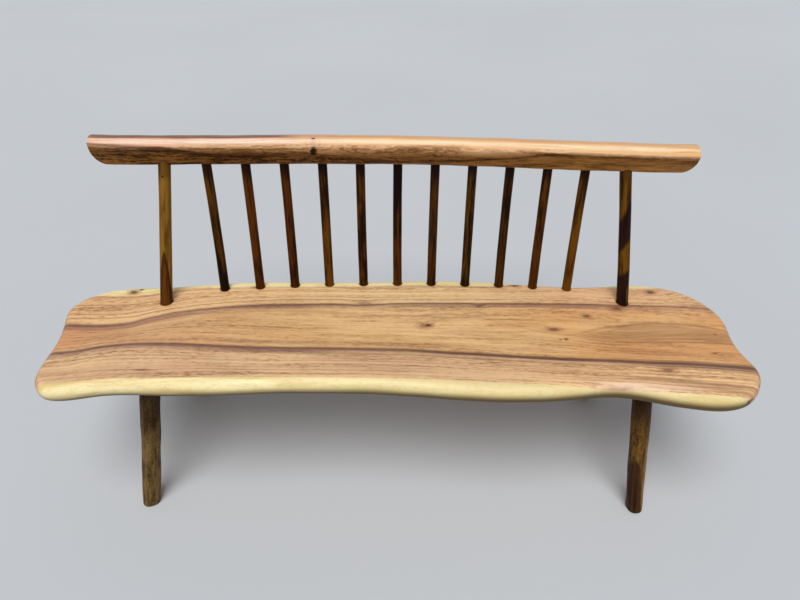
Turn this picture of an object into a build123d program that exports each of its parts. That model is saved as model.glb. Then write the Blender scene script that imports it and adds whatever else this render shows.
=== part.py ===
from build123d import *
from math import cos, pi, radians, tan
import os

os.makedirs("parts", exist_ok=True)

# Rustic bench: a live-edge plank seat on four splayed round legs, with a back of
# thirteen round sticks that carry a bowed log rail. Millimetres and degrees.
# +X runs along the seat to a viewer's right, +Y to the back, +Z up, floor at Z = 0.

# ---- seat plank ----
seat_length = 1734        # over the natural edge, end to end
seat_depth = 476          # from the front-most to the rear-most point of the edge
seat_thickness = 48
seat_height = 440         # floor to the sitting face
seat_edge_radius = 21     # hand-rounded rim, above and below

# ---- legs ----
leg_diameter = 48
leg_tenon_diameter = 34
leg_tenon_length = 32
front_leg_end_inset = 273.5   # seat end to a front leg's centre at the underside
rear_leg_end_inset = 306  # and to a rear leg's
leg_shift = -2.5          # the legs' middle, along from the seat's middle
leg_front_inset = 97      # seat front to the front legs' centres
leg_back_inset = 95       # seat back to the rear legs' centres
leg_side_splay = 57       # how far each foot stands out towards its end
leg_front_rake = 63       # how far the front feet stand forward
leg_back_rake = 82        # how far the rear feet stand back
foot_edge_radius = 3

# ---- back sticks ----
post_diameter = 31        # the two outer sticks
stick_diameter = 24.5     # the eleven inner sticks
stick_count = 11
post_end_inset = 252      # seat end to the post's centre at the sitting face
post_gap = 140            # post to the nearest inner stick, at the sitting face
post_lean_in = 22.5       # how far each post's head leans towards the middle
post_left_inset = 142     # seat back to the left post's centre
post_right_inset = 104    # and to the right post's
row_back_inset = 32       # seat back to the middle stick
row_left_curve = 44       # how far the row comes forward at its left end
row_right_curve = 10      # and at its right end
back_shift = -5           # the stick row's middle, along from the seat's middle
rail_shift = -8           # the rail's middle, along from the stick row's middle
back_rake = 12.6          # lean from the middle stick's foot to the rail, degrees
stick_setback = 12        # how far behind the rail's middle line the sticks aim
seat_socket_depth = 28
rail_socket_depth = 32

# ---- top rail ----
rail_depth = 80
rail_height = 74
rail_underside = 764      # floor to the lowest line of the rail
rail_overhang = 175       # post head to the end of the rail
rail_bow = 27             # how far the middle of the rail bends back
rail_skew = 30            # how far the right end sits behind the left end
rail_left_corner = 60     # rounding of the rail's left end, underneath
rail_right_corner = 45    # and of its right end
rail_upper_corner = 5     # rounding of both ends on top
outline_margin = 1        # the ends' outline clears the log by this, above and below
rail_stations = 7         # sections that the log is shaped through
facet_bulge_end = 1.5     # swelling of the planed facet towards the rail's ends
facet_bulge_middle = 13   # and in the middle, where the log is fully round

# ---- fits ----
fit_clearance = 0.1       # radial gap round a stick or tenon in its socket
glue_room = 0.6           # gap left at the bottom of each blind socket

# ---- places that follow ----
half_length = seat_length / 2
seat_underside = seat_height - seat_thickness
rail_centre_height = rail_underside + rail_height / 2
back_lean = (rail_centre_height - seat_height) * tan(radians(back_rake))
overall_depth = seat_depth - row_back_inset + back_lean + rail_depth / 2
seat_front = -overall_depth / 2
seat_back = seat_front + seat_depth
post_half_spacing = half_length - post_end_inset
head_half_spacing = post_half_spacing - post_lean_in
rail_half_length = head_half_spacing + rail_overhang
row_middle = seat_back - row_back_inset
rail_middle_x = back_shift + rail_shift
rail_middle = row_middle + back_lean


# The natural edge, anticlockwise from the left front corner. Each pair is a share of
# half the length (from the middle) and of the depth (from the front).
natural_edge = [
    (-0.925, 0.010), (-0.870, 0.000), (-0.790, 0.032), (-0.640, 0.043),
    (-0.430, 0.060), (-0.158, 0.080), (0.020, 0.069), (0.190, 0.045),
    (0.350, 0.041), (0.480, 0.066), (0.590, 0.086), (0.680, 0.055),
    (0.760, 0.020), (0.860, 0.004), (0.930, 0.040), (0.972, 0.115),
    (1.000, 0.237), (0.990, 0.340), (0.987, 0.480), (0.999, 0.620),
    (0.987, 0.754), (0.930, 0.900), (0.850, 0.970), (0.770, 0.986),
    (0.610, 0.958), (0.440, 0.965), (0.260, 0.994), (0.100, 0.990),
    (-0.195, 0.958), (-0.500, 0.935), (-0.760, 0.868), (-0.885, 0.838),
    (-0.955, 0.768), (-0.999, 0.635), (-0.985, 0.500), (-0.969, 0.330),
    (-0.968, 0.180), (-0.956, 0.070),
]


def edge_point(along, across):
    return (along * half_length, seat_front + across * seat_depth)


# ---- where each round member enters its neighbours ----
def rail_centre(x):
    """Centre of the rail at x: a long gentle bow with straight ends, set slightly askew."""
    share = (x - rail_middle_x) / rail_half_length
    bow = rail_bow * (1 + cos(pi * share)) / 2
    return Vector(x, rail_middle - rail_bow + bow + rail_skew * share / 2, rail_centre_height)


with BuildLine() as stick_row:
    row_half = post_half_spacing - post_gap
    ThreePointArc(
        (back_shift - row_half, row_middle - row_left_curve, seat_height),
        (back_shift, row_middle, seat_height),
        (back_shift + row_half, row_middle - row_right_curve, seat_height),
    )

head_pitch = 2 * head_half_spacing / (stick_count + 1)


def head_point(x):
    """Where a stick's axis crosses the rail's middle height, behind its middle line."""
    return rail_centre(x) + Vector(0, stick_setback, 0)


sticks = {}
for number in range(stick_count):
    foot = stick_row.line @ (number / (stick_count - 1))
    head = head_point(rail_middle_x - head_half_spacing + (number + 1) * head_pitch)
    sticks[f"back_stick_{number + 1:02d}"] = (foot, head, stick_diameter)
for name, side, inset in (("left", -1, post_left_inset), ("right", 1, post_right_inset)):
    foot = Vector(back_shift + side * post_half_spacing, seat_back - inset, seat_height)
    head = head_point(rail_middle_x + side * head_half_spacing)
    sticks[f"back_post_{name}"] = (foot, head, post_diameter)

legs = {}
for end, side in (("left", -1), ("right", 1)):
    for row, end_inset, hip_y, rake in (
        ("front", front_leg_end_inset, seat_front + leg_front_inset, -leg_front_rake),
        ("rear", rear_leg_end_inset, seat_back - leg_back_inset, leg_back_rake),
    ):
        hip = Vector(leg_shift + side * (half_length - end_inset), hip_y, seat_underside)
        foot = Vector(hip.X + side * leg_side_splay, hip.Y + rake, 0)
        legs[f"leg_{row}_{end}"] = (foot, hip)


# ---- seat: one plank, its rim rounded by hand, blind sockets above and below ----
with BuildPart() as seat_slab:
    with BuildSketch(Plane.XY.offset(seat_underside)):
        with BuildLine():
            Spline(*[edge_point(*pair) for pair in natural_edge], periodic=True)
        make_face()
    extrude(amount=seat_thickness)
    rims = seat_slab.faces().filter_by(Axis.Z).edges()
    fillet(rims, radius=seat_edge_radius)
    for foot, head, diameter in sticks.values():
        with BuildSketch(Plane(foot, z_dir=head - foot)):
            Circle(diameter / 2 + fit_clearance)
        extrude(amount=-(seat_socket_depth + glue_room), mode=Mode.SUBTRACT)
        with BuildSketch(Plane(foot, z_dir=head - foot)):
            Circle(diameter / 2 + fit_clearance)
        extrude(amount=diameter, mode=Mode.SUBTRACT)
    for foot, hip in legs.values():
        with BuildSketch(Plane(hip, z_dir=hip - foot)):
            Circle(leg_tenon_diameter / 2 + fit_clearance)
        extrude(amount=leg_tenon_length + glue_room, both=True, mode=Mode.SUBTRACT)
seat_slab.part.label = "seat_slab"
export_step(seat_slab.part, "parts/seat_slab.step")


# ---- legs: round billets, cut level at the floor and at the seat, tenoned upwards ----
for name, (foot, hip) in legs.items():
    lean = (hip - foot).normalized()
    with BuildPart() as leg:
        with BuildSketch(Plane(foot - lean * leg_diameter, z_dir=lean)):
            Circle(leg_diameter / 2)
        extrude(amount=(hip - foot).length + 2 * leg_diameter)
        split(bisect_by=Plane.XY, keep=Keep.TOP)
        split(bisect_by=Plane.XY.offset(seat_underside), keep=Keep.BOTTOM)
        fillet(leg.faces().sort_by(Axis.Z)[0].edges(), radius=foot_edge_radius)
        with BuildSketch(Plane(hip - lean * leg_tenon_diameter, z_dir=lean)):
            Circle(leg_tenon_diameter / 2)
        extrude(amount=leg_tenon_diameter + leg_tenon_length)
    leg.part.label = name
    export_step(leg.part, f"parts/{name}.step")


# ---- back posts and sticks: plain round sticks, let into seat and rail ----
def stick_tip(foot, head):
    """Upper end of a stick, at the bottom of its socket in the rail."""
    lean = (head - foot).normalized()
    return foot + lean * ((rail_underside - seat_height) / lean.Z + rail_socket_depth)


for name, (foot, head, diameter) in sticks.items():
    lean = (head - foot).normalized()
    tip = stick_tip(foot, head)
    with BuildPart() as stick:
        with BuildSketch(Plane(foot - lean * seat_socket_depth, z_dir=lean)):
            Circle(diameter / 2)
        extrude(amount=seat_socket_depth + (tip - foot).length)
    stick.part.label = name
    export_step(stick.part, f"parts/{name}.step")


# ---- rail: a bowed round log with a planed lower front that fades out in the middle ----
with BuildPart() as top_rail:
    for station in range(rail_stations):
        share = -1 + 2 * station / (rail_stations - 1)
        centre = rail_centre(rail_middle_x + share * rail_half_length)
        roundness = max(0, cos(pi * share))
        bulge = facet_bulge_end + (facet_bulge_middle - facet_bulge_end) * roundness
        half_depth, half_height = rail_depth / 2, rail_height / 2
        arris = Vector(-0.87 * half_depth, 0.49 * half_height)
        keel = Vector(-0.34 * half_depth, -0.96 * half_height)
        chord = keel - arris
        outward = Vector(chord.Y, -chord.X).normalized()
        with BuildSketch(Plane(centre, x_dir=(0, 1, 0), z_dir=(1, 0, 0))):
            with BuildLine():
                ThreePointArc(arris, arris + chord / 2 + outward * bulge, keel)
                Spline(
                    keel,
                    (0.10 * half_depth, -half_height),
                    (0.80 * half_depth, -0.60 * half_height),
                    (half_depth, 0),
                    (0.72 * half_depth, 0.68 * half_height),
                    (0, half_height),
                    (-0.66 * half_depth, 0.72 * half_height),
                    arris,
                )
            make_face()
    loft()
    with BuildSketch(Plane.XZ) as end_outline:
        with Locations((rail_middle_x, rail_centre_height)):
            Rectangle(2 * rail_half_length, rail_height + 2 * outline_margin)
        left_corner = end_outline.vertices().group_by(Axis.Y)[0].sort_by(Axis.X)[0]
        fillet(left_corner, radius=rail_left_corner)
        right_corner = end_outline.vertices().group_by(Axis.Y)[0].sort_by(Axis.X)[-1]
        fillet(right_corner, radius=rail_right_corner)
        fillet(end_outline.vertices().group_by(Axis.Y)[-1], radius=rail_upper_corner)
    extrude(amount=overall_depth, both=True, mode=Mode.INTERSECT)
    for foot, head, diameter in sticks.values():
        lean = (head - foot).normalized()
        with BuildSketch(Plane(stick_tip(foot, head) + lean * glue_room, z_dir=-lean)):
            Circle(diameter / 2 + fit_clearance)
        extrude(amount=rail_socket_depth + diameter, mode=Mode.SUBTRACT)
top_rail.part.label = "top_rail"
export_step(top_rail.part, "parts/top_rail.step")
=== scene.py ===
from math import cos, pi, radians, sin

import bmesh
import bpy
import numpy as np
from mathutils import Matrix, Vector


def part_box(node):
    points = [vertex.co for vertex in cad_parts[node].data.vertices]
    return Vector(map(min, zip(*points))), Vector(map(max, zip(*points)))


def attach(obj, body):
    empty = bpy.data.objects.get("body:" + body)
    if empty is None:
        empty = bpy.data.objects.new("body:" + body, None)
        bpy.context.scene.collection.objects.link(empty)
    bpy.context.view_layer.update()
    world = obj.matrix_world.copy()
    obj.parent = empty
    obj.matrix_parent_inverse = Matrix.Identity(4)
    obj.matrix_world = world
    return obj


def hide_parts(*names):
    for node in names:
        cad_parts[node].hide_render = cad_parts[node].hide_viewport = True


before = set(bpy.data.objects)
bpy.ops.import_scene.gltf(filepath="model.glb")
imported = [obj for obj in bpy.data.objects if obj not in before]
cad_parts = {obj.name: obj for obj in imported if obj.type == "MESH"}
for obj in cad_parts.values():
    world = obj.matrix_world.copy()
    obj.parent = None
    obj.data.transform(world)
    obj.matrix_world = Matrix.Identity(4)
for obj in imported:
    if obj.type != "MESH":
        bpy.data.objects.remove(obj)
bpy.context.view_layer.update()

# ------------------------------ seat plank
# One live-edge hardwood plank, 48 mm thick, planed flat and oiled. Its rim is the log's
# own outline, peeled of bark and rounded by hand, so cream sapwood runs along the front.
# Blind holes are bored in it for the thirteen back sticks and the four leg tenons.

seat_top, seat_underside = 0.440, 0.392
seat_half_length, seat_depth = 0.867, 0.476
seat_low, seat_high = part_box("seat_slab")

# The natural edge, anticlockwise from the left front corner: a share of half the length
# from the middle, and a share of the depth from the front.
natural_edge = [
    (-0.925, 0.010), (-0.870, 0.000), (-0.790, 0.032), (-0.640, 0.043),
    (-0.430, 0.060), (-0.158, 0.080), (0.020, 0.069), (0.190, 0.045),
    (0.350, 0.041), (0.480, 0.066), (0.590, 0.086), (0.680, 0.055),
    (0.760, 0.020), (0.860, 0.004), (0.930, 0.040), (0.972, 0.115),
    (1.000, 0.237), (0.990, 0.340), (0.987, 0.480), (0.999, 0.620),
    (0.987, 0.754), (0.930, 0.900), (0.850, 0.970), (0.770, 0.986),
    (0.610, 0.958), (0.440, 0.965), (0.260, 0.994), (0.100, 0.990),
    (-0.195, 0.958), (-0.500, 0.935), (-0.760, 0.868), (-0.885, 0.838),
    (-0.955, 0.768), (-0.999, 0.635), (-0.985, 0.500), (-0.969, 0.330),
    (-0.968, 0.180), (-0.956, 0.070),
]


def evenly_spaced(line, count, closed=False):
    """Points at even distances along a line; a closed one ends where it began."""
    run = np.concatenate([[0], np.cumsum(np.linalg.norm(np.diff(line, axis=0), axis=1))])
    even = np.linspace(0, run[-1], count, endpoint=not closed)
    return np.stack([np.interp(even, run, axis) for axis in line.T], axis=1)


def smooth_line(knots, count, closed=False):
    """Evenly spaced points on a smooth curve through the knots."""
    knots = np.asarray(knots, float)
    if closed:
        knots = np.vstack([knots, knots[:1]])
    last = len(knots) - 1
    gap = np.linalg.norm(np.diff(knots, axis=0), axis=1)
    at = np.concatenate([[0], np.cumsum(gap)])
    slope = np.diff(knots, axis=0) / gap[:, None]
    rows, pull = np.eye(last + 1), np.zeros_like(knots)
    for k in range(1, last):
        rows[k, k - 1 : k + 2] = gap[k - 1], 2 * (gap[k - 1] + gap[k]), gap[k]
        pull[k] = 6 * (slope[k] - slope[k - 1])
    if closed:
        rows[0, [0, 1, last - 1]] = 2 * (gap[-1] + gap[0]), gap[0], gap[-1]
        pull[0] = 6 * (slope[0] - slope[-1])
        rows[last, [0, last]] = 1, -1
    bend = np.linalg.solve(rows, pull)
    fine = np.linspace(0, at[-1], 200 * last + 1)
    span = np.clip(np.searchsorted(at, fine, side="right") - 1, 0, last - 1)
    wide = gap[span, None]
    before, after = at[span + 1, None] - fine[:, None], fine[:, None] - at[span, None]
    line = (bend[span] * before**3 + bend[span + 1] * after**3) / (6 * wide)
    line += (knots[span] / wide - bend[span] * wide / 6) * before
    line += (knots[span + 1] / wide - bend[span + 1] * wide / 6) * after
    return evenly_spaced(line, count, closed)


def waver(share, counts, seed):
    """A gentle waver, about -1 to 1, that meets itself over a share from 0 to 1."""
    draw = np.random.default_rng(seed)
    waves = draw.integers(*counts, size=7)
    starts = draw.uniform(0, 2 * pi, 7)
    return sum(np.sin(2 * pi * k * share + s) for k, s in zip(waves, starts)) / 4


def skin(name, *stacks):
    """A closed surface over each stack of rings, with flat faces over its two ends."""
    points, faces = [], []
    for rings in stacks:
        base, (count, around) = len(points), rings.shape[:2]
        points += rings.reshape(-1, 3).tolist()
        for row in range(base, base + (count - 1) * around, around):
            for k in range(around):
                n = (k + 1) % around
                faces.append((row + k, row + n, row + around + n, row + around + k))
        faces.append(tuple(range(base, base + around)))
        faces.append(tuple(range(len(points) - around, len(points))))
    mesh = bpy.data.meshes.new(name)
    mesh.from_pydata(points, [], faces)
    piece = bpy.data.objects.new(name, mesh)
    bpy.context.collection.objects.link(piece)
    soften(piece)
    return piece


def soften(piece, crease=32):
    """Turns the faces outwards and shades them smooth, except across sharp arrises."""
    shape = bmesh.new()
    shape.from_mesh(piece.data)
    bmesh.ops.recalc_face_normals(shape, faces=shape.faces)
    for face in shape.faces:
        face.smooth = True
    for edge in shape.edges:
        edge.smooth = len(edge.link_faces) == 2 and edge.calc_face_angle() < radians(crease)
    shape.to_mesh(piece.data)
    shape.free()


def rings_about(centres, way, radii, around):
    """Rings of points square to a way; a radius may differ from point to point."""
    side = np.cross((0, 1, 0), way)
    side /= np.linalg.norm(side)
    turn = 2 * pi * np.arange(around) / around
    spokes = np.cos(turn)[:, None] * side + np.sin(turn)[:, None] * np.cross(way, side)
    radii = np.asarray(radii).reshape(len(centres), -1, 1)
    return np.asarray(centres)[:, None] + radii * spokes


def bore(piece, holes):
    """Bores blind holes, each a mouth, the bit's way in, a radius and a depth."""
    above, countersink, rings = 0.030, 0.0014, []
    for mouth, way, radius, depth in holes:
        reach = np.array([-above, -countersink, 0.0010, depth])
        radii = [radius + countersink, radius + countersink, radius, radius]
        rings.append(rings_about(mouth + reach[:, None] * way, way, radii, 64))
    bits = skin("bits", *rings)
    cut = piece.modifiers.new("bore", "BOOLEAN")
    cut.operation, cut.solver, cut.object = "DIFFERENCE", "EXACT", bits
    bored = bpy.data.meshes.new_from_object(piece.evaluated_get(bpy.context.evaluated_depsgraph_get()))
    piece.modifiers.clear()
    piece.data = bored
    bpy.data.objects.remove(bits)
    soften(piece)


def centre_line(node):
    """The lower and upper end of a round stick's axis, its way up, and its radius."""
    points = np.array([vertex.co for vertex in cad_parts[node].data.vertices])
    middle = (points.max(axis=0) + points.min(axis=0)) / 2
    way = np.linalg.svd(points - points.mean(axis=0), full_matrices=False)[2][0]
    way *= np.sign(way[2])
    run = (points - middle) @ way
    ends = []
    for end in (run.min(), run.max()):
        cap = points[abs(run - end) < 2e-4]
        ends.append((cap.max(axis=0) + cap.min(axis=0)) / 2)
    foot, head = ends
    off = points - foot - ((points - foot) @ way)[:, None] * way
    way = (head - foot) / np.linalg.norm(head - foot)
    return foot, head, way, np.linalg.norm(off, axis=1).max()


stick_names = ["back_post_left", "back_post_right"]
stick_names += [f"back_stick_{number:02d}" for number in range(1, 12)]
sticks = {name: centre_line(name) for name in stick_names}

# Each leg's foot and hip in x and y, at the floor and at the seat's underside.
legs = {
    "leg_front_left": ((-0.6530, -0.2483), (-0.5960, -0.1853)),
    "leg_front_right": ((0.6480, -0.2483), (0.5910, -0.1853)),
    "leg_rear_left": ((-0.6205, 0.1807), (-0.5635, 0.0987)),
    "leg_rear_right": ((0.6155, 0.1807), (0.5585, 0.0987)),
}
tenon_radius, tenon_length = 0.017, 0.032

# Round joints: how deep a stick goes, and the room for glue round it and at its end.
stick_in_seat, stick_in_rail = 0.028, 0.032
glue_gap, glue_room = 0.0001, 0.0006

rim_points, rim_steps, flat_start = 1500, 19, 0.031
rim = natural_edge * np.array([seat_half_length, seat_depth])
rim = smooth_line(rim, rim_points, closed=True)
for axis in (0, 1):
    drawn = rim[:, axis].min(), rim[:, axis].max()
    rim[:, axis] = np.interp(rim[:, axis], drawn, (seat_low[axis], seat_high[axis]))
tangent = np.roll(rim, -1, axis=0) - np.roll(rim, 1, axis=0)
inward = tangent[:, ::-1] * (-1, 1) / np.linalg.norm(tangent, axis=1)[:, None]
share = np.arange(rim_points) / rim_points
round_over = 0.0215 + 0.0015 * waver(share, (3, 14), 4)
ridge, hollow = waver(share, (10, 46), 5), waver(share, (6, 34), 6)
seat_rings = []
for turn in np.linspace(0, pi, rim_steps):
    inset = round_over * (1 - sin(turn))
    inset += 0.0007 * sin(turn) * np.clip(1 + ridge * cos(turn) + hollow * sin(turn), 0, 3)
    lift = round_over * (1 - abs(cos(turn)))
    height = np.where(turn < pi / 2, seat_underside + lift, seat_top - lift)
    ring = rim + inward * inset[:, None]
    seat_rings.append(np.column_stack([ring, height]))
flat = rim + inward * flat_start
seat_rings.insert(0, np.insert(flat, 2, seat_underside, axis=1))
seat_rings.append(np.insert(flat, 2, seat_top, axis=1))
seat_plank = skin("seat_plank", np.array(seat_rings))

holes, mouths = [], {}
for name, (foot, head, way, radius) in sticks.items():
    mouths[name] = foot + (head - foot) * (seat_top - foot[2]) / (head[2] - foot[2])
    holes.append((mouths[name], -way, radius + glue_gap, stick_in_seat + glue_room))
for foot, hip in legs.values():
    way = np.array([hip[0] - foot[0], hip[1] - foot[1], seat_underside])
    way /= np.linalg.norm(way)
    mouth = np.array([*hip, seat_underside])
    holes.append((mouth, way, tenon_radius + glue_gap, tenon_length + glue_room))
bore(seat_plank, holes)


class Wire:
    """A socket of a finish's node tree that takes part in sums."""

    def __init__(self, finish, socket):
        self.finish, self.socket = finish, socket

    def __add__(self, other):
        return self.finish.sum("ADD", self, other)

    def __sub__(self, other):
        return self.finish.sum("SUBTRACT", self, other)

    def __rsub__(self, other):
        return self.finish.sum("SUBTRACT", other, self)

    def __mul__(self, other):
        return self.finish.sum("MULTIPLY", self, other)

    def __truediv__(self, other):
        return self.finish.sum("DIVIDE", self, other)

    def __rtruediv__(self, other):
        return self.finish.sum("DIVIDE", other, self)

    def __abs__(self):
        return self.finish.sum("ABSOLUTE", self)

    __radd__, __rmul__ = __add__, __mul__


class Finish:
    """The nodes of one finish, or of the surround, written as sums and calls."""

    def __init__(self, owner):
        owner.use_nodes = True
        self.owner, self.tree = owner, owner.node_tree
        self.tree.nodes.clear()
        if isinstance(owner, bpy.types.Material):
            self.spot = self.node("TexCoord", out="Object")

    def node(self, kind, settings=(), sockets=(), out=0):
        """Adds a node: first its settings, then the values or links of its sockets."""
        made = self.tree.nodes.new("ShaderNode" + kind)
        for name, value in dict(settings).items():
            if name == "stops":
                for stop, (at, colour) in enumerate(value):
                    if stop > 1:
                        made.color_ramp.elements.new(at)
                    made.color_ramp.elements[stop].position = at
                    made.color_ramp.elements[stop].color = colour
            elif name == "curve":
                curve = made.mapping.curves[0]
                for at, height in value[1:-1]:
                    curve.points.new(at, height)
                curve.points[0].location, curve.points[-1].location = value[0], value[-1]
                made.mapping.update()
            else:
                setattr(made, name, value)
        for name, value in dict(sockets).items():
            if isinstance(value, Wire):
                self.tree.links.new(value.socket, made.inputs[name])
            else:
                made.inputs[name].default_value = value
        return Wire(self, made.outputs[out]) if made.outputs else None

    def sum(self, operation, *terms):
        return self.node("Math", {"operation": operation}, enumerate(terms))

    def most(self, *terms):
        return self.sum("MAXIMUM", *terms)

    def parts(self, vector):
        return [self.node("SeparateXYZ", (), {0: vector}, out=axis) for axis in "XYZ"]

    def place(self, *measures):
        return self.node("CombineXYZ", (), enumerate(measures))

    def fade(self, value, start, end):
        """0 at the start and 1 at the end, with a soft change between them."""
        edges = {"Value": value, "From Min": start, "From Max": end}
        return self.node("MapRange", {"interpolation_type": "SMOOTHSTEP"}, edges)

    def mix(self, amount, under, over, blend="MIX"):
        """Lays one colour over another by an amount from 0 to 1."""
        settings = {"data_type": "RGBA", "blend_type": blend}
        return self.node("Mix", settings, {0: amount, 6: under, 7: over}, out=2)

    def grain(self, run, stretch, seed=0, detail=2, rough=0.5):
        """Noise drawn out along the fibres, which follow the first axis of run."""
        shift = (seed * 3.71, seed * 1.93, seed * 5.17)
        drawn = self.node("VectorMath", {"operation": "MULTIPLY_ADD"}, {0: run, 1: stretch, 2: shift})
        noise = {"Vector": drawn, "Scale": 1, "Detail": detail, "Roughness": rough}
        return self.node("TexNoise", (), noise)

    def reach(self, centre, size):
        """Distance from a centre, where each axis is measured in its own size."""
        inverse = [1 / s if s else 0 for s in size]
        shift = [-c * i for c, i in zip(centre, inverse)]
        near = self.node("VectorMath", {"operation": "MULTIPLY_ADD"}, {0: self.spot, 1: inverse, 2: shift})
        return self.node("VectorMath", {"operation": "LENGTH"}, {0: near}, out="Value")

    def oil(self, piece, colour, roughness, relief, sheen=()):
        """Puts the finish on a piece; relief is the surface's height in millimetres."""
        normal = self.node("Bump", (), {"Strength": 1, "Distance": 0.001, "Height": relief})
        wood = {"Base Color": colour, "Roughness": roughness, "Normal": normal}
        shader = self.node("BsdfPrincipled", (), {**wood, **dict(sheen)})
        self.node("OutputMaterial", (), {"Surface": shader})
        piece.data.materials.clear()
        piece.data.materials.append(self.owner)


def tint(red, green, blue):
    """A display colour, 0 to 255, as the shader's own linear colour."""
    shares = [c / 255 for c in (red, green, blue)]
    return [s / 12.92 if s < 0.04 else ((s + 0.055) / 1.055) ** 2.4 for s in shares] + [1]


plank = Finish(bpy.data.materials.new("oiled_plank"))
x, y, z = plank.parts(plank.spot)

# Growth lines are drawn on a chart of the plank, 1.76 m by 0.60 m.
chart_end, chart_side = 0.88, 0.30
along = (x + chart_end) / (chart_end * 2)


def growth_line(*spots):
    """The y of a growth line that runs the plank's length, 1 mm in front of the spots."""
    curve = [
        ((px + chart_end) / (chart_end * 2), (py + chart_side) / (chart_side * 2))
        for px, py in spots
    ]
    line = plank.node("FloatCurve", {"curve": curve}, {"Value": along})
    return line * (chart_side * 2) - (chart_side + 0.001)


sap_front = growth_line(
    (-0.88, -0.278), (-0.80, -0.266), (-0.72, -0.252), (-0.677, -0.2447), (-0.567, -0.2385),
    (-0.455, -0.2325), (-0.20, -0.226), (0.0, -0.224), (0.116, -0.2276), (0.277, -0.2335),
    (0.459, -0.242), (0.551, -0.2446), (0.64, -0.2553), (0.78, -0.264), (0.88, -0.268),
)
dark_front = growth_line(
    (-0.88, -0.172), (-0.824, -0.160), (-0.774, -0.151), (-0.735, -0.137), (-0.677, -0.124),
    (-0.607, -0.118), (-0.546, -0.1183), (-0.387, -0.125), (0.0, -0.1255), (0.099, -0.130),
    (0.292, -0.143), (0.484, -0.152), (0.724, -0.158), (0.84, -0.170), (0.88, -0.176),
)
dark_back = growth_line(
    (-0.88, -0.055), (-0.704, -0.0526), (-0.638, -0.026), (-0.581, -0.003), (-0.522, 0.016),
    (-0.422, 0.037), (-0.25, 0.049), (-0.093, 0.057), (0.109, 0.068), (0.436, 0.074),
    (0.60, 0.074), (0.80, 0.070), (0.88, 0.060),
)
sap_back = growth_line(
    (-0.88, 0.055), (-0.812, 0.077), (-0.754, 0.079), (-0.687, 0.086), (-0.618, 0.107),
    (-0.563, 0.121), (-0.472, 0.127), (-0.384, 0.132), (-0.279, 0.139), (0.0, 0.152),
    (0.144, 0.159), (0.27, 0.160), (0.36, 0.178), (0.50, 0.184), (0.58, 0.164),
    (0.66, 0.160), (0.72, 0.164), (0.80, 0.190), (0.88, 0.200),
)


def between(low, high, width):
    """How far y is from one growth line to the next, as metres of an even plank."""
    lines = {"Value": y, "From Min": low, "From Max": high, "To Max": width}
    return plank.node("MapRange", (), lines)


# Across the grain: 0 at the front sapwood, 0.10 and 0.29 at the dark lines, 0.40 behind.
below = seat_top - z
across = between(sap_front, dark_front, 0.10) + between(dark_front, dark_back, 0.19)
across = across + between(dark_back, sap_back, 0.11)
across = across + plank.sum("MINIMUM", y - sap_front, 0) + plank.most(y - sap_back, 0)
across = across + below * 0.35

# Knots and eyes in the grain: place, size, how far they push the grain, how dark.
knots = [
    (-0.721, 0.093, 0.014, 0.01, 0.004, 0.85), (-0.705, 0.106, 0.006, 0.005, 0, 0.9),
    (0.074, -0.027, 0.012, 0.007, 0.01, 0.95), (0.062, -0.031, 0.018, 0.011, 0.006, 0.4),
    (0.396, -0.034, 0.021, 0.009, 0.01, 0.7), (0.496, 0.025, 0.014, 0.009, 0.006, 0.72),
    (0.587, 0.06, 0.018, 0.01, 0.006, 0.52), (0.42, -0.0725, 0.006, 0.004, 0.002, 0.85),
    (0.705, 0.142, 0.014, 0.011, 0.006, 0.8), (0.325, 0.16, 0.014, 0.005, 0.002, 0.85),
    (0.778, -0.117, 0.007, 0.003, 0.002, 0.8), (0.81, -0.042, 0.005, 0.003, 0, 0.7),
    (0.638, -0.182, 0.02, 0.009, 0.003, 0.6), (-0.594, -0.213, 0.022, 0.003, 0.002, 0.65),
    (0.214, 0.06, 0.012, 0.006, 0.006, 0.5), (-0.093, 0.064, 0.03, 0.012, 0.005, 0.4),
    (-0.402, 0.128, 0.012, 0.005, 0.004, 0.5), (0.405, -0.075, 0.004, 0.003, 0, 0.6),
    (0.1, -0.018, 0.085, 0.026, 0.014, 0), (-0.075, -0.018, 0.06, 0.018, 0.006, 0),
    (0.66, -0.04, 0.13, 0.03, 0.02, 0), (0.52, -0.04, 0.06, 0.022, 0.012, 0),
    (-0.48, -0.03, 0.09, 0.025, -0.012, 0), (-0.3, 0.1, 0.08, 0.02, -0.008, 0),
]
core, halo = 0.0, 0.0
ripple = plank.grain(plank.spot, (190, 300, 300), 17, detail=3) * 1.1 + 0.45
for kx, ky, length, width, push, darkness in knots:
    near = plank.reach((kx, ky, 0), (length, width, 0))
    if push:
        across = across + plank.fade(near, 3.2, 0.2) * push
    if darkness:
        near = near * ripple
        core = plank.most(plank.fade(near, 0.95, 0.30) * darkness, core)
        halo = plank.most(plank.fade(near, 1.9, 0.8) * (darkness * 0.68), halo)

run = plank.place(x, across, z * 0.4)
across = across + (plank.grain(run, (5, 16, 16), 1) - 0.5) * 0.010
across = across + (plank.grain(run, (24, 70, 70), 2) - 0.5) * 0.0024

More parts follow.
